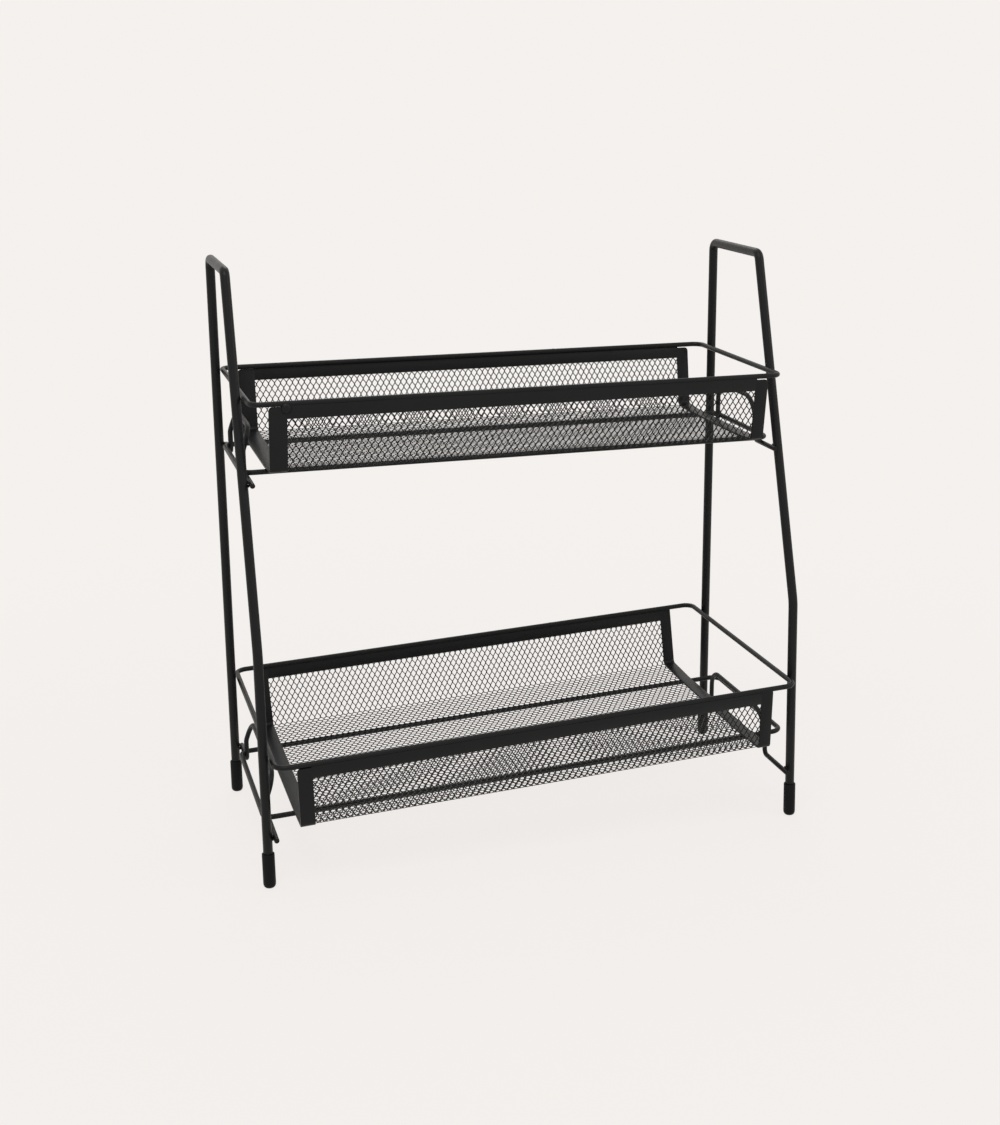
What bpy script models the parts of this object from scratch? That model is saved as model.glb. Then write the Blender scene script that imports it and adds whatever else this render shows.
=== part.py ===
"""Two-tier kitchen rack of black powder-coated steel.

Two bent-wire side frames stand on plastic foot caps, and four wire rests are welded between their
legs. Each tray is an open-ended trough of expanded metal, hemmed onto a wire rim and standing on a
wire base ring that drops over the humps of two rests. Metres; +Z is up and the front faces -Y.
"""

import math

import bmesh
import bpy
from mathutils import Vector

# Clearance left where two pieces touch or are welded together.
CLEARANCE = 0.0003

# Side frames: one bent wire each.
FRAME_SPACING = 0.380
FRAME_HEIGHT = 0.4005
LEG_SPACING = 0.1665
HANDLE_LENGTH = 0.0835
KNEE_HEIGHT = 0.161
# The front leg leans forward a little below its knee as well.
KNEE_BACK = 0.006
HANDLE_BEND = 0.006
KNEE_BEND = 0.030
LEG_WIRE = 0.0065

# Foot caps: outside size, flat under the rounded end, and solid sole under the wire.
CAP_DIAMETER = 0.0085
CAP_HEIGHT = 0.024
CAP_FLAT = 0.0046
CAP_NOSE = 0.003
CAP_SOLE = 0.0035

# Tray rests: each hump stands up from two feet. The left frame's lean inboard, and the right
# frame's are rounder in front.
REST_WIRE = 0.0035
UPPER_REST_HEIGHT = 0.2673
LOWER_REST_HEIGHT = 0.035
HUMP_HEIGHT = 0.030
HUMP_STRAIGHT = 0.015
LEFT_HUMP_LEAN = 0.005
HUMP_BEND = 0.012
RIGHT_FRONT_BEND = 0.020
LEAN_BEND = 0.010
FOOT_BEND = 0.004
REST_FRONT_OVERHANG = 0.0075
REST_REAR_OVERHANG = 0.003

# How far the risers of the humps stand inside the base ring, front and rear. The upper left
# rest's hump sits further back than the right one's.
UPPER_LEFT_FRONT_SLACK = 0.019
UPPER_LEFT_REAR_SLACK = 0.0066
UPPER_RIGHT_FRONT_SLACK = 0.0124
UPPER_RIGHT_REAR_SLACK = 0.0108
LOWER_FRONT_SLACK = 0.0096
LOWER_LEFT_REAR_SLACK = 0.0066
LOWER_RIGHT_REAR_SLACK = 0.009

# Trays: depths are between the centre lines of the wires, and the height is from ring to rim.
# The setbacks are from the front feet's line to the trays' middles.
UPPER_RIM_DEPTH = 0.1494
LOWER_RIM_DEPTH = 0.199
UPPER_RING_DEPTH = 0.093
LOWER_RING_DEPTH = 0.1215
UPPER_TRAY_SETBACK = 0.1022
LOWER_TRAY_SETBACK = 0.0852
LOWER_TRAY_TILT = math.radians(2.6)
TRAY_HEIGHT = 0.0502
RIM_WIRE = 0.0036
RING_WIRE = 0.0036
RIM_CORNER = 0.0075
RING_CORNER = 0.0075

# Trough: sheet sizes, the solid bands round it, and how far the floor's folds lie inside the rim.
# The floor rests on the base ring and rises a little from there to its folds. The gaps are from
# the frames' planes to the trough's ends.
LEFT_END_GAP = 0.0197
UPPER_RIGHT_END_GAP = 0.0155
LOWER_RIGHT_END_GAP = 0.0211
FLOOR_INSET = 0.0056
FOLD_RISE = 0.0015
FOLD_BEND = 0.0025
TOP_BAND_HEIGHT = 0.013
TOP_BAND_SHEET = 0.0008
HEM_TUCK = math.radians(25)
END_BAND_WIDTH = 0.009
END_BAND_SHEET = 0.0016
END_BAND_DROP = 0.0022

# Expanded metal, with coarser diamonds than the real sheet's.
NET_SHEET = 0.001
NET_STRAND = 0.0024
WALL_DIAMOND_WIDTH = 0.0232
WALL_DIAMOND_HEIGHT = 0.036
FLOOR_DIAMOND_WIDTH = 0.0295
FLOOR_DIAMOND_HEIGHT = 0.075

# Smoothness: turn of a bend between two points, and sides of a wire or a foot cap.
BEND_STEP = math.radians(15)
HEM_STEP = math.radians(30)
LEG_SIDES = 12
THIN_WIRE_SIDES = 8
CAP_SIDES = 16
CAP_NOSE_STEPS = 3
STRAIGHT = math.radians(0.5)
SHARP_ANGLE = math.radians(35)
MERGE_DISTANCE = 0.000001

SIDES = {"left": -1, "right": 1}

FRAME_X = FRAME_SPACING / 2
# The lower tray is the deepest piece, so its middle is the part's.
FRONT_FOOT_Y = -LOWER_TRAY_SETBACK
REAR_LEG_Y = FRONT_FOOT_Y + LEG_SPACING
KNEE_Y = FRONT_FOOT_Y + KNEE_BACK
HANDLE_FRONT_Y = REAR_LEG_Y - HANDLE_LENGTH
UPPER_TRAY_Y = FRONT_FOOT_Y + UPPER_TRAY_SETBACK

# Offsets inboard of a frame's plane: the rests' feet and the rims' side wires lie against the legs.
REST_INBOARD = (LEG_WIRE + REST_WIRE) / 2 + CLEARANCE
RIM_INBOARD = (LEG_WIRE + RIM_WIRE) / 2 + CLEARANCE
RIM_HALF_LENGTH = FRAME_X - RIM_INBOARD
# A base ring drops over the outer faces of the rests' risers.
RING_REACH = FRAME_X - REST_INBOARD + (REST_WIRE + RING_WIRE) / 2 + CLEARANCE

# Trough section, seen from the end and measured from the base ring's plane.
FLOOR_LEVEL = RING_WIRE / 2 + CLEARANCE + END_BAND_SHEET / 2
FOLD_LEVEL = FLOOR_LEVEL + FOLD_RISE
WALL_DROP = TRAY_HEIGHT - FOLD_LEVEL
HEM_RADIUS = (RIM_WIRE + TOP_BAND_SHEET) / 2 + CLEARANCE
WALL_SPAN = math.hypot(FLOOR_INSET, WALL_DROP)
WALL_LEAN = math.atan2(FLOOR_INSET, WALL_DROP) + math.asin(HEM_RADIUS / WALL_SPAN)
WALL_LENGTH = math.sqrt(WALL_SPAN**2 - HEM_RADIUS**2)
TOP_BAND_FOOT = WALL_LENGTH - TOP_BAND_HEIGHT + HEM_RADIUS + TOP_BAND_SHEET / 2


def finish(name, base_colour, roughness):
    """A finish with its own colour and gloss, for one piece."""
    material = bpy.data.materials.new(name)
    material.use_nodes = True
    shader = material.node_tree.nodes["Principled BSDF"]
    shader.inputs["Base Color"].default_value = (*base_colour, 1)
    shader.inputs["Roughness"].default_value = roughness
    shader.inputs["Metallic"].default_value = 0
    return material


def powder_coat(name):
    return finish(f"{name}_powder_coat", (0.022, 0.023, 0.024), 0.42)


def black_plastic(name):
    return finish(f"{name}_plastic", (0.014, 0.014, 0.015), 0.5)


def link(name, data, material, parent=None):
    piece = bpy.data.objects.new(name, data)
    data.materials.append(material)
    piece.parent = parent
    bpy.context.scene.collection.objects.link(piece)
    return piece


def rounded(corners, closed=False):
    """Points along straight runs, with each corner turned to its own centre-line radius."""
    points = []
    for index, (corner, radius) in enumerate(corners):
        if not radius:
            points.append(corner)
            continue
        following = (index + 1) % len(corners) if closed else index + 1
        before = (corners[index - 1][0] - corner).normalized()
        after = (corners[following][0] - corner).normalized()
        turn = math.pi - before.angle(after)
        if turn < STRAIGHT:
            points.append(corner)
            continue
        centre = corner + (before + after).normalized() * radius / math.cos(turn / 2)
        start = corner + before * radius * math.tan(turn / 2) - centre
        finish_at = corner + after * radius * math.tan(turn / 2) - centre
        steps = max(2, math.ceil(turn / BEND_STEP))
        for step in range(steps + 1):
            angle = turn * step / steps
            swung = start * math.sin(turn - angle) + finish_at * math.sin(angle)
            points.append(centre + swung / math.sin(turn))
    return points


def wire(name, points, diameter, sides, closed=False, parent=None):
    """A round wire along the points, with flat cut ends unless it is a closed loop."""
    curve = bpy.data.curves.new(name, "CURVE")
    curve.dimensions = "3D"
    curve.bevel_depth = diameter / 2
    curve.bevel_resolution = sides // 2 - 2
    curve.use_fill_caps = not closed
    spline = curve.splines.new("POLY")
    spline.points.add(len(points) - 1)
    for place, point in zip(spline.points, points):
        place.co = (*point, 1)
    spline.use_cyclic_u = closed
    return link(name, curve, powder_coat(name), parent)


def mesh_piece(name, build, material, parent=None):
    """An object from a bmesh, with its faces turned outwards and its round parts smooth."""
    bmesh.ops.recalc_face_normals(build, faces=build.faces)
    mesh = bpy.data.meshes.new(name)
    build.to_mesh(mesh)
    build.free()
    mesh.shade_smooth()
    mesh.set_sharp_from_angle(angle=SHARP_ANGLE)
    return link(name, mesh, material, parent)


def strip_outline(points, sheet):
    """The closed outline of a bent sheet, offset both ways from its middle line in Y and Z."""
    near = []
    far = []
    for index, point in enumerate(points):
        ahead = points[min(index + 1, len(points) - 1)] - point
        behind = point - points[max(index - 1, 0)]
        if not ahead.length:
            ahead = behind
        if not behind.length:
            behind = ahead
        along = (ahead.normalized() + behind.normalized()).normalized()
        mitre = along.dot(ahead.normalized())
        across = Vector((0, -along.z, along.y)) * sheet / 2 / mitre
        near.append(point + across)
        far.append(point - across)
    return near + far[::-1]


def extruded(name, outline, length, x, parent):
    """The outline drawn out along X, centred on x."""
    build = bmesh.new()
    ring = [build.verts.new(point + Vector((x - length / 2, 0, 0))) for point in outline]
    face = build.faces.new(ring)
    drawn = bmesh.ops.extrude_face_region(build, geom=[face])["geom"]
    moved = [item for item in drawn if isinstance(item, bmesh.types.BMVert)]
    bmesh.ops.translate(build, verts=moved, vec=(length, 0, 0))
    return mesh_piece(name, build, powder_coat(name), parent)


def front_leg_y(height):
    """Where the front leg's centre line is at a height: it slopes more above the knee."""
    if height < KNEE_HEIGHT:
        return FRONT_FOOT_Y + (KNEE_Y - FRONT_FOOT_Y) * height / KNEE_HEIGHT
    slope = (HANDLE_FRONT_Y - KNEE_Y) / (FRAME_HEIGHT - KNEE_HEIGHT)
    return KNEE_Y + slope * (height - KNEE_HEIGHT)


def side_frame(side):
    x = SIDES[side] * FRAME_X
    cut_end = CAP_SOLE + CLEARANCE
    corners = [
        (Vector((x, REAR_LEG_Y, cut_end)), 0),
        (Vector((x, REAR_LEG_Y, FRAME_HEIGHT)), HANDLE_BEND),
        (Vector((x, HANDLE_FRONT_Y, FRAME_HEIGHT)), HANDLE_BEND),
        (Vector((x, KNEE_Y, KNEE_HEIGHT)), KNEE_BEND),
        (Vector((x, front_leg_y(cut_end), cut_end)), 0),
    ]
    return wire(f"{side}_side_frame", rounded(corners), LEG_WIRE, LEG_SIDES)


def foot_cap(name, x, y, lean):
    """A turned cap with a rounded end, a small flat under it and a blind bore along the leg."""
    outer = CAP_DIAMETER / 2
    bore = LEG_WIRE / 2 + CLEARANCE
    flat = CAP_FLAT / 2
    profile = [Vector((0, 0, 0))]
    for step in range(CAP_NOSE_STEPS + 1):
        angle = math.pi / 2 * step / CAP_NOSE_STEPS
        reach = flat + (outer - flat) * math.sin(angle)
        profile.append(Vector((reach, 0, CAP_NOSE * (1 - math.cos(angle)))))
    profile.append(Vector((outer, 0, CAP_HEIGHT)))
    profile.append(Vector((bore, 0, CAP_HEIGHT)))
    profile.append(Vector((bore, 0, CAP_SOLE)))
    profile.append(Vector((0, 0, CAP_SOLE)))
    build = bmesh.new()
    turned = [build.verts.new(point) for point in profile]
    edges = [build.edges.new(pair) for pair in zip(turned, turned[1:])]
    bmesh.ops.spin(
        build,
        geom=turned + edges,
        cent=(0, 0, 0),
        axis=(0, 0, 1),
        angle=math.tau,
        steps=CAP_SIDES,
        use_merge=True,
    )
    bmesh.ops.remove_doubles(build, verts=build.verts, dist=MERGE_DISTANCE)
    for vertex in build.verts:
        vertex.co.y += lean * vertex.co.z
    cap = mesh_piece(name, build, black_plastic(name))
    cap.location = (x, y, 0)
    return cap


def tray_rest(tier, side, height, ring_front, ring_rear, front_slack, rear_slack):
    """A wire between the two legs, with a hump in its middle that stands up inside a base ring."""
    foot_x = SIDES[side] * (FRAME_X - REST_INBOARD)
    top_x = foot_x + LEFT_HUMP_LEAN if side == "left" else foot_x
    front_bend = HUMP_BEND if side == "left" else RIGHT_FRONT_BEND
    front_riser = ring_front + front_slack
    rear_riser = ring_rear - rear_slack
    lean_height = height + HUMP_STRAIGHT
    top_height = height + HUMP_HEIGHT
    front_end = front_leg_y(height) - REST_FRONT_OVERHANG
    rear_end = REAR_LEG_Y + REST_REAR_OVERHANG
    corners = [
        (Vector((foot_x, front_end, height)), 0),
        (Vector((foot_x, front_riser, height)), FOOT_BEND),
        (Vector((top_x, front_riser, top_height)), front_bend),
        (Vector((top_x, rear_riser, top_height)), HUMP_BEND),
        (Vector((foot_x, rear_riser, height)), FOOT_BEND),
        (Vector((foot_x, rear_end, height)), 0),
    ]
    if side == "left":
        corners.insert(2, (Vector((foot_x, front_riser, lean_height)), LEAN_BEND))
        corners.insert(5, (Vector((foot_x, rear_riser, lean_height)), LEAN_BEND))
    name = f"{tier}_{side}_tray_rest"
    return wire(name, rounded(corners), REST_WIRE, THIN_WIRE_SIDES)


def wire_loop(name, half_length, depth, height, corner, diameter, parent):
    """A closed rectangular loop of wire with rounded corners, level with its parent's X and Y."""
    half_depth = depth / 2
    corners = [
        (Vector((-half_length, -half_depth, height)), corner),
        (Vector((half_length, -half_depth, height)), corner),
        (Vector((half_length, half_depth, height)), corner),
        (Vector((-half_length, half_depth, height)), corner),
    ]
    return wire(name, rounded(corners, True), diameter, THIN_WIRE_SIDES, True, parent)


def wall_point(rim_depth, along):
    """A point on the front wall's middle surface, this far up the wall from the floor's fold."""
    fold_y = FLOOR_INSET - rim_depth / 2
    rise = along * math.cos(WALL_LEAN)
    return Vector((0, fold_y - along * math.sin(WALL_LEAN), FOLD_LEVEL + rise))


def top_band(name, rim_depth, facing, length, x, parent):
    """A strip up the wall's top edge and rolled over the rim wire; facing is -1 at the front."""
    rim = Vector((0, -rim_depth / 2, TRAY_HEIGHT))
    middle = [wall_point(rim_depth, TOP_BAND_FOOT)]
    start = math.pi + WALL_LEAN
    sweep = start + HEM_TUCK
    steps = math.ceil(sweep / HEM_STEP)
    for step in range(steps + 1):
        angle = start - sweep * step / steps
        middle.append(rim + Vector((0, math.cos(angle), math.sin(angle))) * HEM_RADIUS)
    turned = [Vector((0, -facing * point.y, point.z)) for point in middle]
    return extruded(name, strip_outline(turned, TOP_BAND_SHEET), length, x, parent)


def end_band(name, rim_depth, ring_depth, x, parent):
    """A strip bent in a U round the trough's open end, with its arms just short of the rim."""
    arm = wall_point(rim_depth, WALL_LENGTH - END_BAND_DROP)
    fold = wall_point(rim_depth, 0)
    seat = Vector((0, -ring_depth / 2, FLOOR_LEVEL))
    corners = [
        (arm, 0),
        (fold, FOLD_BEND),
        (seat, 0),
        (Vector((0, -seat.y, seat.z)), 0),
        (Vector((0, -fold.y, fold.z)), FOLD_BEND),
        (Vector((0, -arm.y, arm.z)), 0),
    ]
    outline = strip_outline(rounded(corners), END_BAND_SHEET)
    return extruded(name, outline, END_BAND_WIDTH, x, parent)


def expanded_metal(name, length, height, diamond_width, diamond_height, parent, flat=0, rise=0):
    """A sheet of diamond gaps, with half diamonds along its edges, centred on its origin. If a
    flat width is given, the sheet is bent up beyond it, by this rise at its two long edges."""
    build = bmesh.new()
    columns = round(length / diamond_width)
    rows = max(1, round(height / diamond_height))
    cells = 2 * (columns + rows)
    bmesh.ops.create_grid(build, x_segments=cells, y_segments=cells, size=cells / 2)
    pitch_x = length / columns
    pitch_y = height / rows
    for vertex in build.verts:
        along, up = vertex.co.x, vertex.co.y
        vertex.co = Vector(((along - up) * pitch_x / 2, (along + up) * pitch_y / 2, 0))
    for edge, outwards in (
        (Vector((length / 2, 0, 0)), Vector((1, 0, 0))),
        (Vector((-length / 2, 0, 0)), Vector((-1, 0, 0))),
        (Vector((0, height / 2, 0)), Vector((0, 1, 0))),
        (Vector((0, -height / 2, 0)), Vector((0, -1, 0))),
    ):
        bmesh.ops.bisect_plane(
            build,
            geom=build.verts[:] + build.edges[:] + build.faces[:],
            dist=MERGE_DISTANCE,
            plane_co=edge,
            plane_no=outwards,
            clear_outer=True,
        )
    gaps = build.faces[:]
    bmesh.ops.inset_individual(build, faces=gaps, thickness=NET_STRAND / 2, use_even_offset=True)
    bmesh.ops.delete(build, geom=gaps, context="FACES")
    drawn = bmesh.ops.extrude_face_region(build, geom=build.faces[:])["geom"]
    raised = [item for item in drawn if isinstance(item, bmesh.types.BMVert)]
    bmesh.ops.translate(build, verts=raised, vec=(0, 0, NET_SHEET))
    bmesh.ops.translate(build, verts=build.verts, vec=(0, 0, -NET_SHEET / 2))
    if flat:
        for bend_y in (-flat / 2, flat / 2):
            bmesh.ops.bisect_plane(
                build,
                geom=build.verts[:] + build.edges[:] + build.faces[:],
                dist=MERGE_DISTANCE,
                plane_co=(0, bend_y, 0),
                plane_no=(0, 1, 0),
            )
        slope = 2 * rise / (height - flat)
        for vertex in build.verts:
            vertex.co.z += max(0, abs(vertex.co.y) - flat / 2) * slope
    return mesh_piece(name, build, powder_coat(name), parent)


def tray(tier, rim_depth, ring_depth, right_end_gap, tilt, parent):
    """One tray: rim, base ring, four bands and the three faces of its expanded metal."""
    # A tilt swings the ring sideways, so a tilted tray's is made that much longer.
    ring_half_length = (RING_REACH + TRAY_HEIGHT * math.sin(tilt)) / math.cos(tilt)
    wire_loop(
        f"{tier}_rim_wire", RIM_HALF_LENGTH, rim_depth, TRAY_HEIGHT, RIM_CORNER, RIM_WIRE, parent
    )
    wire_loop(
        f"{tier}_base_ring", ring_half_length, ring_depth, 0, RING_CORNER, RING_WIRE, parent
    )
    left_end = LEFT_END_GAP - FRAME_X
    right_end = FRAME_X - right_end_gap
    end_band(
        f"{tier}_left_end_band", rim_depth, ring_depth, left_end + END_BAND_WIDTH / 2, parent
    )
    end_band(
        f"{tier}_right_end_band", rim_depth, ring_depth, right_end - END_BAND_WIDTH / 2, parent
    )
    net_x = (left_end + right_end) / 2
    net_length = right_end - left_end - 2 * (END_BAND_WIDTH + CLEARANCE)
    for face, facing in (("front", -1), ("rear", 1)):
        top_band(f"{tier}_{face}_band", rim_depth, facing, net_length, net_x, parent)

    net_margin = NET_SHEET / 2 + CLEARANCE
    wall_top = TOP_BAND_FOOT - CLEARANCE
    wall_middle = wall_point(rim_depth, (net_margin + wall_top) / 2)
    for face, facing in (("front", -1), ("rear", 1)):
        net = expanded_metal(
            f"{tier}_{face}_mesh",
            net_length,
            wall_top - net_margin,
            WALL_DIAMOND_WIDTH,
            WALL_DIAMOND_HEIGHT,
            parent,
        )
        net.location = (net_x, -facing * wall_middle.y, wall_middle.z)
        net.rotation_euler = (math.pi / 2 - facing * WALL_LEAN, 0, 0)
    floor_depth = rim_depth - 2 * FLOOR_INSET
    net_depth = floor_depth - 2 * net_margin
    floor = expanded_metal(
        f"{tier}_floor_mesh",
        net_length,
        net_depth,
        FLOOR_DIAMOND_WIDTH,
        FLOOR_DIAMOND_HEIGHT,
        parent,
        ring_depth,
        FOLD_RISE * (net_depth - ring_depth) / (floor_depth - ring_depth),
    )
    floor.location = (net_x, 0, FLOOR_LEVEL)


def tray_place(tier, rest_height, back, tilt):
    """The tray's middle in the plane of its base ring, with the left end seated on its rest."""
    place = bpy.data.objects.new(f"{tier}_tray", None)
    bpy.context.scene.collection.objects.link(place)
    shift = TRAY_HEIGHT * math.sin(tilt)
    seat_x = REST_INBOARD - FRAME_X
    seat = rest_height + (REST_WIRE + RING_WIRE) / 2 + CLEARANCE
    place.location = (shift, back, seat + (shift - seat_x) * math.tan(tilt))
    place.rotation_euler = (0, -tilt, 0)
    return place


def rack():
    for item in list(bpy.data.objects):
        bpy.data.objects.remove(item)
    for side, sign in SIDES.items():
        side_frame(side)
        foot_cap(f"front_{side}_foot_cap", sign * FRAME_X, FRONT_FOOT_Y, KNEE_BACK / KNEE_HEIGHT)
        foot_cap(f"rear_{side}_foot_cap", sign * FRAME_X, REAR_LEG_Y, 0)
        tray_rest(
            "upper",
            side,
            UPPER_REST_HEIGHT,
            UPPER_TRAY_Y - UPPER_RING_DEPTH / 2,
            UPPER_TRAY_Y + UPPER_RING_DEPTH / 2,
            UPPER_LEFT_FRONT_SLACK if side == "left" else UPPER_RIGHT_FRONT_SLACK,
            UPPER_LEFT_REAR_SLACK if side == "left" else UPPER_RIGHT_REAR_SLACK,
        )
        tray_rest(
            "lower",
            side,
            LOWER_REST_HEIGHT,
            -LOWER_RING_DEPTH / 2,
            LOWER_RING_DEPTH / 2,
            LOWER_FRONT_SLACK,
            LOWER_LEFT_REAR_SLACK if side == "left" else LOWER_RIGHT_REAR_SLACK,
        )
    upper = tray_place("upper", UPPER_REST_HEIGHT, UPPER_TRAY_Y, 0)
    tray("upper", UPPER_RIM_DEPTH, UPPER_RING_DEPTH, UPPER_RIGHT_END_GAP, 0, upper)
    lower = tray_place("lower", LOWER_REST_HEIGHT, 0, LOWER_TRAY_TILT)
    tray(
        "lower", LOWER_RIM_DEPTH, LOWER_RING_DEPTH, LOWER_RIGHT_END_GAP, LOWER_TRAY_TILT, lower
    )


rack()
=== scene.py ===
import math

import bmesh
import bpy
from mathutils import Matrix, Vector


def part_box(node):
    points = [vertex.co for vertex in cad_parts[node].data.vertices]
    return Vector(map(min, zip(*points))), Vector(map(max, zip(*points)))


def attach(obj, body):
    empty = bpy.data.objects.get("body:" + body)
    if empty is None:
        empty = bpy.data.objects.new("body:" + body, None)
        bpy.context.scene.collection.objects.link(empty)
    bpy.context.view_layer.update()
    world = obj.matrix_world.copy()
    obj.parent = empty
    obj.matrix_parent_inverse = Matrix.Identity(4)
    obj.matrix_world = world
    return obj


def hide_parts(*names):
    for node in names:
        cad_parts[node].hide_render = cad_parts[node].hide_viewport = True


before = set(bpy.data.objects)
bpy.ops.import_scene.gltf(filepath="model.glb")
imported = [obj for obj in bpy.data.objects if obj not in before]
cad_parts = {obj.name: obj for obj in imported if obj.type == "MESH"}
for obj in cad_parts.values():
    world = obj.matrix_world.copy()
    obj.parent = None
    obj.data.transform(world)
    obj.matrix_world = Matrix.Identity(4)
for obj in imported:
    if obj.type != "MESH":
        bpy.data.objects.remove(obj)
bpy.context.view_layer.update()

# Camera
# The photograph is taken from the front left and a little above, with a longish lens. The picture
# was cropped from a larger one, so its middle isn't the lens's middle, and the shift holds that.
PHOTO_HEIGHT = 1125
PHOTO_CENTRE = Vector((500, 562.5))
LENS_CENTRE = Vector((560, 521.75))
CAMERA_PLACE = (-0.32172, -1.13386, 0.52720)
CAMERA_HEADING = math.radians(17.73)
CAMERA_PITCH = math.radians(14.82)
LENS_PIXELS = 1704.6
SENSOR = 36.0
NEAREST = 0.05

lens = bpy.data.cameras.new("camera")
lens.sensor_width = SENSOR
lens.lens = LENS_PIXELS * SENSOR / PHOTO_HEIGHT
lens.shift_x = (PHOTO_CENTRE.x - LENS_CENTRE.x) / PHOTO_HEIGHT
lens.shift_y = (LENS_CENTRE.y - PHOTO_CENTRE.y) / PHOTO_HEIGHT
lens.clip_start = NEAREST
camera = bpy.data.objects.new("camera", lens)
camera.location = CAMERA_PLACE
camera.rotation_euler = (math.pi / 2 - CAMERA_PITCH, 0, -CAMERA_HEADING)
bpy.context.scene.collection.objects.link(camera)
bpy.context.scene.camera = camera


# Side frames
# Each end of the rack is one 6.5 mm steel bar, bent to a handle at the top and to a sloping front
# leg, then powder-coated satin black. The coat has a fine orange peel and a slightly uneven gloss.
class Term:
    """A shader socket that takes part in sums, so that a finish reads as arithmetic."""

    def __init__(self, finish, socket):
        self.finish = finish
        self.socket = socket

    def maths(self, operation, first, second):
        return self.finish.node("ShaderNodeMath", {"operation": operation}, {0: first, 1: second})

    def __add__(self, other):
        return self.maths("ADD", self, other)

    __radd__ = __add__

    def __sub__(self, other):
        return self.maths("SUBTRACT", self, other)

    def __rsub__(self, other):
        return self.maths("SUBTRACT", other, self)

    def __mul__(self, other):
        return self.maths("MULTIPLY", self, other)

    __rmul__ = __mul__


class Finish:
    """A material built on one Principled shader."""

    def __init__(self, name):
        self.material = bpy.data.materials.new(name)
        self.material.use_nodes = True
        self.tree = self.material.node_tree
        self.shader = self.tree.nodes["Principled BSDF"]
        self.place = self.node("ShaderNodeTexCoord", {}, {}, "Object")

    def node(self, kind, settings, sockets, output=0):
        """Adds a node, sets it up and returns one of its outputs."""
        made = self.tree.nodes.new(kind)
        for name, value in settings.items():
            setattr(made, name, value)
        for name, value in sockets.items():
            self.feed(made.inputs[name], value)
        return Term(self, made.outputs[output])

    def feed(self, socket, value):
        if isinstance(value, Term):
            self.tree.links.new(value.socket, socket)
        else:
            socket.default_value = value

    def noise(self, scale, detail):
        sockets = {"Vector": self.place, "Scale": scale, "Detail": detail}
        return self.node("ShaderNodeTexNoise", {}, sockets, "Fac")

    def mixed(self, share, first, second):
        """The colour between two colours, by a share that changes over the surface."""
        settings = {"data_type": "RGBA"}
        return self.node("ShaderNodeMix", settings, {0: share, 6: (*first, 1), 7: (*second, 1)}, 2)

    def bump(self, height, depth):
        sockets = {"Height": height, "Distance": depth, "Strength": 1.0}
        self.feed(self.shader.inputs["Normal"], self.node("ShaderNodeBump", {}, sockets))

    def set(self, **values):
        for name, value in values.items():
            self.feed(self.shader.inputs[name.replace("_", " ").title()], value)


COAT_DARK = (0.0056, 0.0061, 0.0063)
COAT_LIGHT = (0.0098, 0.0104, 0.0106)
COAT_ROUGHNESS = 0.40
COAT_SHINE = 0.18
PEEL_SCALE = 1400.0
PEEL_DEPTH = 0.000022
PEEL_ROUGHNESS = 0.06
FLOW_SCALE = 95.0
FLOW_SHARE = 0.7
FLOW_ROUGHNESS = 0.14


def powder_coat(name, roughness=COAT_ROUGHNESS, peel=PEEL_DEPTH):
    """Satin black powder coat over steel, uneven where it flowed and finely dimpled."""
    coat = Finish(name)
    flow = coat.noise(FLOW_SCALE, 3.0)
    grain = coat.noise(PEEL_SCALE, 2.0)
    smoothest = roughness - (FLOW_ROUGHNESS + PEEL_ROUGHNESS) / 2
    coat.set(
        base_color=coat.mixed(flow * FLOW_SHARE + grain * (1 - FLOW_SHARE), COAT_DARK, COAT_LIGHT),
        roughness=flow * FLOW_ROUGHNESS + grain * PEEL_ROUGHNESS + smoothest,
    )
    coat.shader.inputs["Specular IOR Level"].default_value = COAT_SHINE
    coat.bump(grain, peel)
    return coat.material


LEG_WIRE = 0.0065
LEG_SIDES = 32
KNEE_HEIGHT = 0.161
KNEE_BACK = 0.006
LOW_SLOPE = KNEE_BACK / KNEE_HEIGHT
HANDLE_LENGTH = 0.0835
HANDLE_BEND = 0.006
KNEE_BEND = 0.030
WIRE_STEP = math.radians(5)
CUT_EDGE = 0.0004
SMOOTH_ANGLE = math.radians(38)


def only(kind, items):
    return [item for item in items if isinstance(item, kind)]


def rounded(build, geom, radius, steps, affect="EDGES"):
    """Rounds edges or corners off."""
    bmesh.ops.bevel(
        build,
        geom=geom,
        offset=radius,
        segments=steps,
        profile=0.5,
        affect=affect,
        material=-1,
    )


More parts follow.
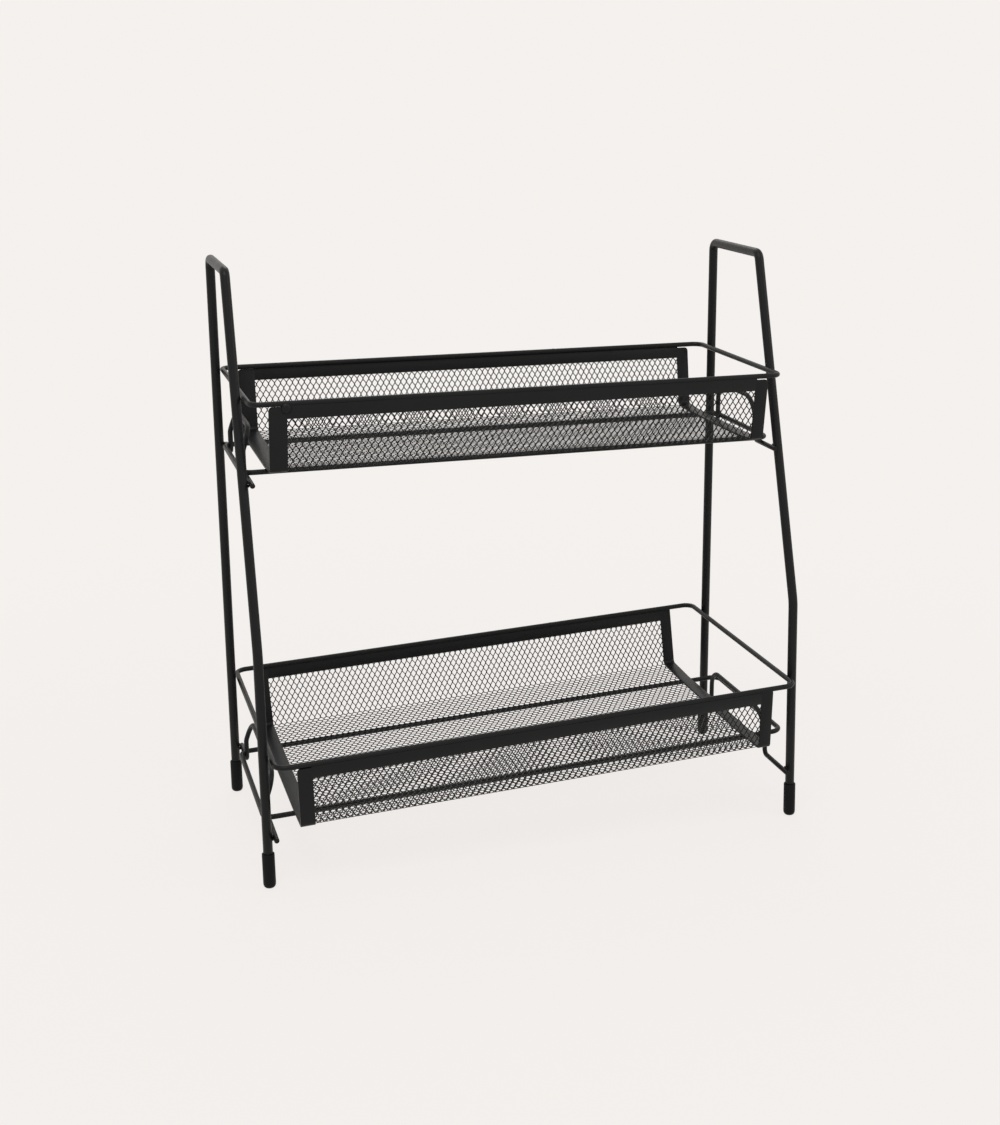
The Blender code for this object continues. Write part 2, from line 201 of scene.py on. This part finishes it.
def bend_wire(build, corners, diameter, sides, closed=False):
    """Draws a round bar out in an empty bmesh, straight from corner to corner, and spins it round
    the bend at each."""
    route = list(corners)
    if closed:
        middle = (corners[0][0] + corners[-1][0]) / 2
        route = [(middle, 0), *corners, (middle, 0)]
    here = route[0][0]
    along = (route[1][0] - here).normalized()
    facing = along.to_track_quat("Z", "Y").to_matrix().to_4x4()
    bmesh.ops.create_circle(
        build, segments=sides, radius=diameter / 2, matrix=Matrix.Translation(here) @ facing
    )
    first = build.edges[:]
    ring = first
    for index in range(1, len(route)):
        corner, bend = route[index]
        along = (corner - route[index - 1][0]).normalized()
        stop = corner
        turn = 0
        if bend:
            onward = (route[index + 1][0] - corner).normalized()
            turn = along.angle(onward)
            stop = corner - along * bend * math.tan(turn / 2)
        drawn = bmesh.ops.extrude_edge_only(build, edges=ring)["geom"]
        bmesh.ops.translate(build, verts=only(bmesh.types.BMVert, drawn), vec=stop - here)
        ring = only(bmesh.types.BMEdge, drawn)
        here = stop
        if turn > WIRE_STEP / 10:
            axis = along.cross(onward).normalized()
            spun = bmesh.ops.spin(
                build,
                geom=only(bmesh.types.BMVert, drawn) + ring,
                cent=here + axis.cross(along) * bend,
                axis=axis,
                angle=turn,
                steps=max(2, round(turn / WIRE_STEP)),
            )["geom_last"]
            ring = only(bmesh.types.BMEdge, spun)
            here = corner + onward * bend * math.tan(turn / 2)
    if closed:
        bmesh.ops.remove_doubles(build, verts=build.verts, dist=diameter / 100)
        return
    for end in (first, ring):
        cap = bmesh.ops.edgeloop_fill(build, edges=end)["faces"]
        rounded(build, list(cap[0].edges), CUT_EDGE, 2)


def finished(name, build, material, body, node):
    """Makes the object with its faces outwards and puts it on its body in its node's place."""
    bmesh.ops.recalc_face_normals(build, faces=build.faces)
    mesh = bpy.data.meshes.new(name)
    build.to_mesh(mesh)
    build.free()
    mesh.materials.append(material)
    mesh.shade_smooth()
    mesh.set_sharp_from_angle(angle=SMOOTH_ANGLE)
    piece = bpy.data.objects.new(name, mesh)
    bpy.context.scene.collection.objects.link(piece)
    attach(piece, body)
    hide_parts(node)


frame_coat = powder_coat("side_frame_coat")
for side in ("left", "right"):
    node = f"{side}_side_frame"
    low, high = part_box(node)
    x = (low[0] + high[0]) / 2
    front_foot = low[1] + LEG_WIRE / 2 - LOW_SLOPE * low[2]
    # Both frames are bent alike, so the caps and rests below find their places from these too.
    legs = {
        "front_foot": front_foot,
        "knee": front_foot + KNEE_BACK,
        "rear": high[1] - LEG_WIRE / 2,
        "handle": high[1] - LEG_WIRE / 2 - HANDLE_LENGTH,
        "top": high[2] - LEG_WIRE / 2,
    }
    build = bmesh.new()
    bend_wire(
        build,
        [
            (Vector((x, legs["rear"], low[2])), 0),
            (Vector((x, legs["rear"], legs["top"])), HANDLE_BEND),
            (Vector((x, legs["handle"], legs["top"])), HANDLE_BEND),
            (Vector((x, legs["knee"], KNEE_HEIGHT)), KNEE_BEND),
            (Vector((x, front_foot + LOW_SLOPE * low[2], low[2])), 0),
        ],
        LEG_WIRE,
        LEG_SIDES,
    )
    finished(f"{side}_frame_bar", build, frame_coat, "side_frames", node)


# Foot caps
# Soft black plastic caps, moulded with a rounded end and pushed onto the cut ends of the legs.
# Each has a softened mouth and a fine spark-eroded grain, and the front ones lean with the legs.
CAP_DARK = (0.0036, 0.0037, 0.0039)
CAP_LIGHT = (0.0062, 0.0064, 0.0067)
CAP_SHINE = 0.12
CAP_GRAIN = 2600.0
CAP_GRAIN_DEPTH = 0.00002
CAP_CLOUD = 220.0
CAP_ROUGHNESS = 0.42
CAP_ROUGHNESS_SPREAD = 0.14
CAP_SOLE = 0.0035
CAP_FLAT = 0.0046
CAP_NOSE = 0.003
CAP_EDGE = 0.0004
CAP_PLAY = 0.0001
CAP_SIDES = 40
NOSE_STEPS = 8
CAP_MERGE = 0.000005

plastic = Finish("foot_cap_plastic")
speckle = plastic.noise(CAP_GRAIN, 3.0)
cloud = plastic.noise(CAP_CLOUD, 2.0)
plastic.set(
    base_color=plastic.mixed(speckle * 0.5 + cloud * 0.5, CAP_DARK, CAP_LIGHT),
    roughness=speckle * CAP_ROUGHNESS_SPREAD + CAP_ROUGHNESS,
)
plastic.shader.inputs["Specular IOR Level"].default_value = CAP_SHINE
plastic.bump(speckle, CAP_GRAIN_DEPTH)

for side in ("left", "right"):
    for end in ("front", "rear"):
        node = f"{end}_{side}_foot_cap"
        low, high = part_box(node)
        leg = legs["rear"] if end == "rear" else legs["front_foot"]
        middle = Vector(((low[0] + high[0]) / 2, leg, 0))
        slope = LOW_SLOPE if end == "front" else 0
        outer = (high[0] - low[0]) / 2
        bore = LEG_WIRE / 2 + CAP_PLAY
        height = high[2]
        outline = [(0, 0, 0)]
        for step in range(NOSE_STEPS + 1):
            angle = math.pi / 2 * step / NOSE_STEPS
            radius = CAP_FLAT / 2 + (outer - CAP_FLAT / 2) * math.sin(angle)
            outline.append((radius, 0, CAP_NOSE * (1 - math.cos(angle))))
        outline += [
            (outer, 0, height - CAP_EDGE),
            (outer - CAP_EDGE / 3, 0, height - CAP_EDGE / 3),
            (outer - CAP_EDGE, 0, height),
            (bore, 0, height),
            (bore, 0, CAP_SOLE),
            (0, 0, CAP_SOLE),
        ]
        build = bmesh.new()
        points = [build.verts.new(point) for point in outline]
        for pair in zip(points, points[1:]):
            build.edges.new(pair)
        bmesh.ops.spin(
            build,
            geom=build.verts[:] + build.edges[:],
            cent=(0, 0, 0),
            axis=(0, 0, 1),
            angle=math.tau,
            steps=CAP_SIDES,
            use_merge=True,
        )
        bmesh.ops.remove_doubles(build, verts=build.verts, dist=CAP_MERGE)
        for vertex in build.verts:
            vertex.co += middle + Vector((0, slope * vertex.co.z, 0))
        finished(
            f"{end}_{side}_cap", build, plastic.material, "side_frames", node
        )


# Tray rests
# A 3.5 mm wire is welded inside each pair of legs below each tray. Its ends run level past the
# legs, and its middle is bent up into a hump that keeps a tray's base ring in place. The left
# humps lean inboard. The right ones stand upright and are rounder in front.
REST_WIRE = 0.0035
REST_SIDES = 20
HUMP_STRAIGHT = 0.015
LEFT_HUMP_LEAN = 0.005
HUMP_BEND = 0.012
RIGHT_FRONT_BEND = 0.020
LEAN_BEND = 0.010
FOOT_BEND = 0.004
WELD_SIZE = Vector((0.0009, 0.0022, 0.0010))
WELD_OUT = 0.0002
WELD_RISE = 0.0014
# How far a hump's risers stand inside the base ring's wires, front and rear.
RING_SLACKS = {
    ("upper", "left"): (0.0190, 0.0066),
    ("upper", "right"): (0.0124, 0.0108),
    ("lower", "left"): (0.0096, 0.0066),
    ("lower", "right"): (0.0096, 0.0090),
}
LOOP_WIRE = 0.0036


def weld_bead(build, place, size):
    """Adds a bead of weld, by its half lengths."""
    matrix = Matrix.Translation(place) @ Matrix.Diagonal((*size, 1))
    bmesh.ops.create_icosphere(build, subdivisions=3, radius=1, matrix=matrix)


rest_coat = powder_coat("tray_rest_coat")
for (tier, side), (front_slack, rear_slack) in RING_SLACKS.items():
    ring_low, ring_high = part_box(f"{tier}_base_ring")
    front_riser = ring_low[1] + LOOP_WIRE / 2 + front_slack
    rear_riser = ring_high[1] - LOOP_WIRE / 2 - rear_slack
    inboard = 1 if side == "left" else -1
    node = f"{tier}_{side}_tray_rest"
    low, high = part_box(node)
    outer = low[0] if side == "left" else high[0]
    foot_x = outer + inboard * REST_WIRE / 2
    top_x = foot_x + LEFT_HUMP_LEAN if side == "left" else foot_x
    front_bend = HUMP_BEND if side == "left" else RIGHT_FRONT_BEND
    foot_z = low[2] + REST_WIRE / 2
    top_z = high[2] - REST_WIRE / 2
    corners = [
        (Vector((foot_x, low[1], foot_z)), 0),
        (Vector((foot_x, front_riser, foot_z)), FOOT_BEND),
        (Vector((top_x, front_riser, top_z)), front_bend),
        (Vector((top_x, rear_riser, top_z)), HUMP_BEND),
        (Vector((foot_x, rear_riser, foot_z)), FOOT_BEND),
        (Vector((foot_x, high[1], foot_z)), 0),
    ]
    if side == "left":
        corners.insert(2, (Vector((foot_x, front_riser, foot_z + HUMP_STRAIGHT)), LEAN_BEND))
        corners.insert(5, (Vector((foot_x, rear_riser, foot_z + HUMP_STRAIGHT)), LEAN_BEND))
    build = bmesh.new()
    bend_wire(build, corners, REST_WIRE, REST_SIDES)
    if foot_z < KNEE_HEIGHT:
        front_leg = legs["front_foot"] + LOW_SLOPE * foot_z
    else:
        share = (foot_z - KNEE_HEIGHT) / (legs["top"] - KNEE_HEIGHT)
        front_leg = legs["knee"] + share * (legs["handle"] - legs["knee"])
    for weld_y in (front_leg, legs["rear"]):
        for rise in (-WELD_RISE, WELD_RISE):
            weld_bead(build, (outer - inboard * WELD_OUT, weld_y, foot_z + rise), WELD_SIZE)
    finished(f"{tier}_{side}_rest_wire", build, rest_coat, "side_frames", node)


# Rim wires and base rings
# Each tray has two closed loops of 3.6 mm wire, butt-welded on their rear sides. The rim runs
# inside the legs, and the base ring carries the floor and drops over the rests' humps.
LOOP_CORNER = 0.0075
LOOP_SIDES = 18
BUTT_WELD = Vector((0.0016, 0.0020, 0.0020))
BUTT_WELD_SHARE = 0.35

loop_coat = powder_coat("wire_loop_coat")
wire = Vector((LOOP_WIRE, LOOP_WIRE, LOOP_WIRE))
trays = {}
for tier in ("upper", "lower"):
    ring_low, ring_high = (Vector(corner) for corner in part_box(f"{tier}_base_ring"))
    rim_low, rim_high = (Vector(corner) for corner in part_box(f"{tier}_rim_wire"))
    ring_size = ring_high - ring_low - wire
    rim_size = rim_high - rim_low - wire
    rim_height = (rim_low + rim_high - ring_low - ring_high).length / 2
    tilt = math.atan2(ring_size.z, ring_size.x)
    place = Matrix.Translation((ring_low + ring_high) / 2) @ Matrix.Rotation(-tilt, 4, "Y")
    trays[tier] = {
        "place": place,
        "rim_depth": rim_size.y,
        "rim_height": rim_height,
        "ring_depth": ring_size.y,
    }
    for name, size, height in (("rim_wire", rim_size, rim_height), ("base_ring", ring_size, 0)):
        half_length = size.x / math.cos(tilt) / 2
        half_depth = size.y / 2
        corners = [
            (Vector((x * half_length, y * half_depth, height)), LOOP_CORNER)
            for x, y in ((-1, -1), (1, -1), (1, 1), (-1, 1))
        ]
        build = bmesh.new()
        bend_wire(build, corners, LOOP_WIRE, LOOP_SIDES, closed=True)
        weld_bead(build, (half_length * BUTT_WELD_SHARE, half_depth, height), BUTT_WELD)
        bmesh.ops.transform(build, matrix=place, verts=build.verts)
        node = f"{tier}_{name}"
        finished(f"{node}_loop", build, loop_coat, f"{tier}_tray", node)


# Expanded metal
# The trough is one sheet of small-diamond expanded steel with two folds. It is slit and drawn
# open, so its openings are long hexagons whose bonds tilt a little out of the sheet.
PITCH_X = 0.00433
PITCH_S = 0.0075
BOND = 0.0013
STRAND = 0.00046
BOND_EXTRA = 0.0002
SHEET = 0.0004
BOND_TILT = 0.0003
FLOOR_INSET = 0.0056
FLOOR_LEVEL = 0.0029
FOLD_RISE = 0.0015
FOLD_BEND = 0.0035
# The walls pass just outside the rim wire's middle, and the top bands reach this far below it.
RIM_OFFSET = 0.0012
BAND_DEPTH = 0.0101
# Each end band's outer and inner edge, from the tray's middle: no two are cut alike.
END_BANDS = {
    ("upper", "left"): (-0.1733, -0.1613),
    ("upper", "right"): (0.1745, 0.1655),
    ("lower", "left"): (-0.1712, -0.1612),
    ("lower", "right"): (0.1667, 0.1580),
}
MESH_TUCK = 0.0012
MESH_LAP = 0.0003
MESH_MERGE = 0.00001
MESH_SNAP = 0.000001
MESH_ROUGHNESS = 0.44
MESH_PEEL = 0.00001


def profile(tray):
    """The trough's section: how its walls lean, how long they are and where its floor folds."""
    drop = tray["rim_height"] - FLOOR_LEVEL - FOLD_RISE
    span = math.hypot(FLOOR_INSET, drop)
    lean = math.atan2(FLOOR_INSET, drop) + math.asin(RIM_OFFSET / span)
    wall = math.sqrt(span**2 - RIM_OFFSET**2)
    half_ring = tray["ring_depth"] / 2
    ramp = tray["rim_depth"] / 2 - FLOOR_INSET - half_ring
    slope = math.atan2(FOLD_RISE, ramp)
    turn = math.pi / 2 - lean - slope
    return {
        "lean": lean,
        "slope": slope,
        "turn": turn,
        "wall": wall,
        "reach": FOLD_BEND * math.tan(turn / 2),
        "half_ring": half_ring,
        "half_sheet": half_ring + ramp / math.cos(slope),
        "band_foot": wall - BAND_DEPTH,
    }


def laid(section, along, off):
    """Where a point of the flat sheet goes once the sheet is bent: along from its middle line
    towards the rear, and off its middle surface, upwards at the floor."""
    side = 1 if along > 0 else -1
    heading = 0
    place = Vector((min(abs(along), section["half_ring"]), FLOOR_LEVEL))
    left = abs(along) - section["half_ring"]
    if left > 0:
        heading = section["slope"]
        ramp = min(left, section["half_sheet"] - section["reach"] - section["half_ring"])
        place += Vector((math.cos(heading), math.sin(heading))) * ramp
        left -= ramp
    if left > 0:
        angle = min(left / FOLD_BEND, section["turn"])
        middle = place + Vector((-math.sin(heading), math.cos(heading))) * FOLD_BEND
        left -= angle * FOLD_BEND
        heading += angle
        place = middle + Vector((math.sin(heading), -math.cos(heading))) * FOLD_BEND
    place += Vector((math.cos(heading), math.sin(heading))) * max(0, left)
    place += Vector((-math.sin(heading), math.cos(heading))) * off
    return Vector((0, side * place.x, place.y))


def hexagon_sheet(build, length, near, far):
    """Flat expanded metal over a length along X and from near to far along Y."""
    rise = PITCH_S / 2 - BOND
    cell = bmesh.ops.create_circle(build, cap_ends=True, segments=6, radius=1)["verts"]
    for vertex in cell:
        across, along, level = vertex.co
        if abs(across) > abs(along):
            place = (math.copysign(PITCH_X / 2, across), math.copysign(BOND / 2, along), level)
        else:
            place = (0, math.copysign(rise + BOND / 2, along), level)
        vertex.co = place
    second = bmesh.ops.duplicate(build, geom=build.faces[:])["geom"]
    bmesh.ops.translate(
        build, verts=only(bmesh.types.BMVert, second), vec=(PITCH_X / 2, PITCH_S / 2, 0)
    )
    columns = math.ceil(length / PITCH_X) + 1
    rows = math.ceil((far - near) / PITCH_S) + 2
    for step, count in (((PITCH_X, 0, 0), columns), ((0, PITCH_S, 0), rows)):
        bmesh.ops.spin(
            build,
            geom=build.verts[:] + build.edges[:] + build.faces[:],
            cent=(0, 0, 0),
            axis=(0, 0, 1),
            dvec=step,
            angle=0,
            steps=count,
            use_duplicate=True,
        )
    start = math.floor(near / PITCH_S) * PITCH_S
    shift = Vector((-math.ceil(length / 2 / PITCH_X) * PITCH_X, start - PITCH_S / 2, 0))
    bmesh.ops.translate(build, verts=build.verts, vec=shift)
    bmesh.ops.remove_doubles(build, verts=build.verts, dist=MESH_MERGE)
    openings = build.faces[:]
    bmesh.ops.inset_individual(build, faces=openings, thickness=STRAND / 2, use_even_offset=True)
    for opening in openings:
        middle = opening.calc_center_median()
        for vertex in opening.verts:
            across = vertex.co.x - middle.x
            if abs(across) > PITCH_X / 4:
                vertex.co.x -= math.copysign(BOND_EXTRA, across)
    bmesh.ops.delete(build, geom=openings, context="FACES")
    for point, outwards in (
        ((length / 2, 0, 0), (1, 0, 0)),
        ((-length / 2, 0, 0), (-1, 0, 0)),
        ((0, far, 0), (0, 1, 0)),
        ((0, near, 0), (0, -1, 0)),
    ):
        bmesh.ops.bisect_plane(
            build,
            geom=build.verts[:] + build.edges[:] + build.faces[:],
            dist=MESH_SNAP,
            plane_co=point,
            plane_no=outwards,
            clear_outer=True,
        )
    drawn = bmesh.ops.extrude_face_region(build, geom=build.faces[:])["geom"]
    bmesh.ops.translate(build, verts=only(bmesh.types.BMVert, drawn), vec=(0, 0, SHEET))
    bmesh.ops.translate(build, verts=build.verts, vec=(0, 0, -SHEET / 2))


def bond_height(along):
    """How far the tilted bonds and strands stand off the sheet, repeating at each row."""
    within = (along / (PITCH_S / 2)) % 1
    bond = BOND / (PITCH_S / 2)
    if within < bond / 2 or within > 1 - bond / 2:
        near = within if within < 0.5 else within - 1
        return near / (bond / 2) * BOND_TILT
    return (0.5 - within) / (0.5 - bond / 2) * BOND_TILT


mesh_coat = powder_coat("expanded_metal_coat", MESH_ROUGHNESS, MESH_PEEL)
for tier, tray in trays.items():
    section = profile(tray)
    left = END_BANDS[tier, "left"][1] - MESH_TUCK
    right = END_BANDS[tier, "right"][1] + MESH_TUCK
    flat = section["half_sheet"] - section["reach"]
    arc = FOLD_BEND * section["turn"]
    edge = flat + arc + section["band_foot"] - section["reach"] + MESH_LAP
    seam = flat + arc / 2
    for face, near, far in (
        ("front", -edge, -seam),
        ("floor", -seam, seam),
        ("rear", seam, edge),
    ):
        build = bmesh.new()
        hexagon_sheet(build, right - left, near, far)
        for vertex in build.verts:
            across, along, off = vertex.co
            bent = laid(section, along, off + bond_height(along))
            vertex.co = bent + Vector((across + (left + right) / 2, 0, 0))
        bmesh.ops.transform(build, matrix=tray["place"], verts=build.verts)
        node = f"{tier}_{face}_mesh"
        finished(f"{node}_sheet", build, mesh_coat, f"{tier}_tray", node)


# Top bands
# A doubled strip binds the sheet's raw edge along the top of each wall. The bare rim wire lies
# along its upper edge and is welded to it, so a dark groove runs under the wire.
TOP_BAND_SHEET = 0.0014
BAND_DROP = 0.0008
BAND_TUCK = 0.0006
SHEET_EDGE = 0.0003
SHARP = math.radians(60)
RIM_WELD = Vector((0.0034, 0.0020, 0.0036))
RIM_WELD_OUT = 0.0016
RIM_WELD_DROP = 0.0028
BAND_ROUGHNESS = 0.38

band_coat = powder_coat("band_coat", BAND_ROUGHNESS)


def eased(build):
    """Takes the sharpness off a strip's edges."""
    bmesh.ops.recalc_face_normals(build, faces=build.faces)
    edges = [edge for edge in build.edges if len(edge.link_faces) == 2]
    sharp = [edge for edge in edges if edge.calc_face_angle() > SHARP]
    rounded(build, sharp, SHEET_EDGE, 2)


def front_wall(tray, section):
    """The directions up and out of a front wall, and the middle of the rim wire over it."""
    lean = section["lean"]
    up_wall = Vector((0, -math.sin(lean), math.cos(lean)))
    outwards = Vector((0, -math.cos(lean), -math.sin(lean)))
    return up_wall, outwards, Vector((0, -tray["rim_depth"] / 2, tray["rim_height"]))


def draw_strip(build, edges, vector):
    """Draws a strip's one open edge out straight and returns the new one."""
    drawn = bmesh.ops.extrude_edge_only(build, edges=edges)["geom"]
    bmesh.ops.translate(build, verts=only(bmesh.types.BMVert, drawn), vec=vector)
    return only(bmesh.types.BMEdge, drawn)


for tier, tray in trays.items():
    up_wall, outwards, rim = front_wall(tray, profile(tray))
    left = END_BANDS[tier, "left"][1] - BAND_TUCK
    right = END_BANDS[tier, "right"][1] + BAND_TUCK
    for face, turned in (("front", 1), ("rear", -1)):
        build = bmesh.new()
        foot = rim + outwards * (RIM_OFFSET + TOP_BAND_SHEET / 2) - up_wall * BAND_DEPTH
        ends = [build.verts.new(foot + Vector((turned * x, 0, 0))) for x in (left, right)]
        draw_strip(build, [build.edges.new(ends)], up_wall * (BAND_DEPTH - BAND_DROP))
        drawn = bmesh.ops.extrude_face_region(build, geom=build.faces[:])["geom"]
        back = only(bmesh.types.BMVert, drawn)
        bmesh.ops.translate(build, verts=back, vec=-outwards * TOP_BAND_SHEET)
        eased(build)
        if (tier, face) == ("upper", "front"):
            # The one weld that shows, a lump under the rim at the strip's left end.
            weld_place = rim + outwards * RIM_WELD_OUT - up_wall * RIM_WELD_DROP
            weld_bead(build, weld_place + Vector((left, 0, 0)), RIM_WELD)
        if turned < 0:
            half_turn = Matrix.Rotation(math.pi, 3, "Z")
            bmesh.ops.rotate(build, verts=build.verts, cent=(0, 0, 0), matrix=half_turn)
        bmesh.ops.transform(build, matrix=tray["place"], verts=build.verts)
        node = f"{tier}_{face}_band"
        finished(f"{node}_strip", build, band_coat, f"{tier}_tray", node)


# End bands
# A doubled strip is folded in a U over the raw end of the expanded sheet: up one wall, under the
# floor and up the other. Its outer upper corners are rounded. It stops just under the rim wire,
# but the lower tray's right one covers half of it.
END_BAND_SHEET = 0.0016
END_BAND_DROPS = {
    ("upper", "left"): 0.0017,
    ("upper", "right"): 0.0022,
    ("lower", "left"): 0.0017,
    ("lower", "right"): -0.0004,
}
BAND_CORNER = 0.0026
BAND_CORNER_STEPS = 5
FOLD_STEPS = 10


def spin_strip(build, edges, centre, angle):
    """Folds a strip's one open edge round an axis along X and returns the new one."""
    spun = bmesh.ops.spin(
        build,
        geom=[*edges[0].verts, *edges],
        cent=centre,
        axis=(1, 0, 0),
        angle=angle,
        steps=FOLD_STEPS,
    )["geom_last"]
    return only(bmesh.types.BMEdge, spun)


for tier, tray in trays.items():
    section = profile(tray)
    up_wall, outwards, rim = front_wall(tray, section)
    turn = section["turn"]
    slope = section["slope"]
    ramp = Vector((0, math.cos(slope), -math.sin(slope)))
    ramp *= section["half_sheet"] - section["reach"] - section["half_ring"]
    seat = Vector((0, section["half_ring"], FLOOR_LEVEL))
    lift = Vector((0, math.sin(slope), math.cos(slope))) * FOLD_BEND
    middle_arc = Vector((0, -seat.y, seat.z)) - ramp + lift
    for side in ("left", "right"):
        drop = END_BAND_DROPS[tier, side]
        wall = section["wall"] - drop - section["reach"]
        xs = sorted(END_BANDS[tier, side])
        top = rim + outwards * (RIM_OFFSET + END_BAND_SHEET / 2) - up_wall * drop
        build = bmesh.new()
        ends = [build.verts.new(top + Vector((x, 0, 0))) for x in xs]
        edges = draw_strip(build, [build.edges.new(ends)], -up_wall * wall)
        edges = spin_strip(build, edges, middle_arc, turn)
        edges = draw_strip(build, edges, ramp)
        edges = draw_strip(build, edges, Vector((0, 2 * seat.y, 0)))
        edges = draw_strip(build, edges, Vector((0, ramp.y, -ramp.z)))
        edges = spin_strip(build, edges, Vector((0, -middle_arc.y, middle_arc.z)), turn)
        draw_strip(build, edges, Vector((0, -up_wall.y, up_wall.z)) * wall)
        corners = [vertex for vertex in build.verts if len(vertex.link_edges) == 2]
        outer = [vertex for vertex in corners if abs(vertex.co.x) > abs(sum(xs)) / 2]
        rounded(build, outer, BAND_CORNER, BAND_CORNER_STEPS, "VERTICES")
        bmesh.ops.recalc_face_normals(build, faces=build.faces)
        bmesh.ops.solidify(build, geom=build.faces[:], thickness=END_BAND_SHEET)
        eased(build)
        bmesh.ops.transform(build, matrix=tray["place"], verts=build.verts)
        node = f"{tier}_{side}_end_band"
        finished(f"{node}_strip", build, band_coat, f"{tier}_tray", node)


# Floor and light
# The rack stands on a plain pale sheet under large soft lights. Seen by the camera the sheet and
# the room have one even colour, and the sheet keeps a faint shadow round the feet.
PALE = (0.9131, 0.8796, 0.8550, 1)
ROOM_LIGHT = (0.58, 0.58, 0.58, 1)
PAPER_SIZE = 6.0
PAPER_ROUGHNESS = 0.9
SHADOW_SHARE = 0.13
SHADOW_NEAR = 0.25
SHADOW_FAR = 0.90
LIGHT_AIM = Vector((0, 0, 0.2))

paper = Finish("paper")
paper.set(base_color=PALE, roughness=PAPER_ROUGHNESS)
distance = paper.node("ShaderNodeVectorMath", {"operation": "LENGTH"}, {0: paper.place}, "Value")
shadow = paper.node(
    "ShaderNodeMapRange",
    {"interpolation_type": "SMOOTHSTEP"},
    {
        "Value": distance,
        "From Min": SHADOW_NEAR,
        "From Max": SHADOW_FAR,
        "To Min": SHADOW_SHARE,
        "To Max": 0.0,
    },
    "Result",
)
seen = paper.node("ShaderNodeLightPath", {}, {}, "Is Camera Ray")
mirrored = paper.node("ShaderNodeLightPath", {}, {}, "Is Glossy Ray")
even = paper.node("ShaderNodeEmission", {}, {"Color": PALE, "Strength": 1.0})
lit = Term(paper, paper.shader.outputs[0])
both = {0: (seen + mirrored) * (1 - shadow), 1: lit, 2: even}
surface = paper.node("ShaderNodeMixShader", {}, both)
paper.feed(paper.tree.nodes["Material Output"].inputs["Surface"], surface)

build = bmesh.new()
bmesh.ops.create_grid(build, x_segments=1, y_segments=1, size=PAPER_SIZE)
sheet = bpy.data.meshes.new("paper_floor")
build.to_mesh(sheet)
build.free()
sheet.materials.append(paper.material)
floor = bpy.data.objects.new("paper_floor", sheet)
bpy.context.scene.collection.objects.link(floor)

room = bpy.data.worlds.new("room")
room.use_nodes = True
bpy.context.scene.world = room
air = room.node_tree
rays = air.nodes.new("ShaderNodeLightPath")
either = air.nodes.new("ShaderNodeMath")
either.operation = "ADD"
colour = air.nodes.new("ShaderNodeMix")
colour.data_type = "RGBA"
colour.inputs[6].default_value = ROOM_LIGHT
colour.inputs[7].default_value = PALE
air.links.new(rays.outputs["Is Camera Ray"], either.inputs[0])
air.links.new(rays.outputs["Is Glossy Ray"], either.inputs[1])
air.links.new(either.outputs[0], colour.inputs[0])
air.links.new(colour.outputs[2], air.nodes["Background"].inputs["Color"])

for name, place, size, power in (
    ("key_light", (-0.5, -0.9, 2.0), 1.0, 11.0),
    ("fill_light", (1.4, -0.9, 1.2), 1.0, 4.0),
    ("back_light", (0.3, 1.3, 1.5), 0.9, 5.0),
):
    lamp = bpy.data.lights.new(name, "AREA")
    lamp.shape = "DISK"
    lamp.size = size
    lamp.energy = power
    light = bpy.data.objects.new(name, lamp)
    light.location = place
    light.rotation_euler = (LIGHT_AIM - Vector(place)).to_track_quat("-Z", "Y").to_euler()
    bpy.context.scene.collection.objects.link(light)

bpy.context.scene.view_settings.view_transform = "Standard"
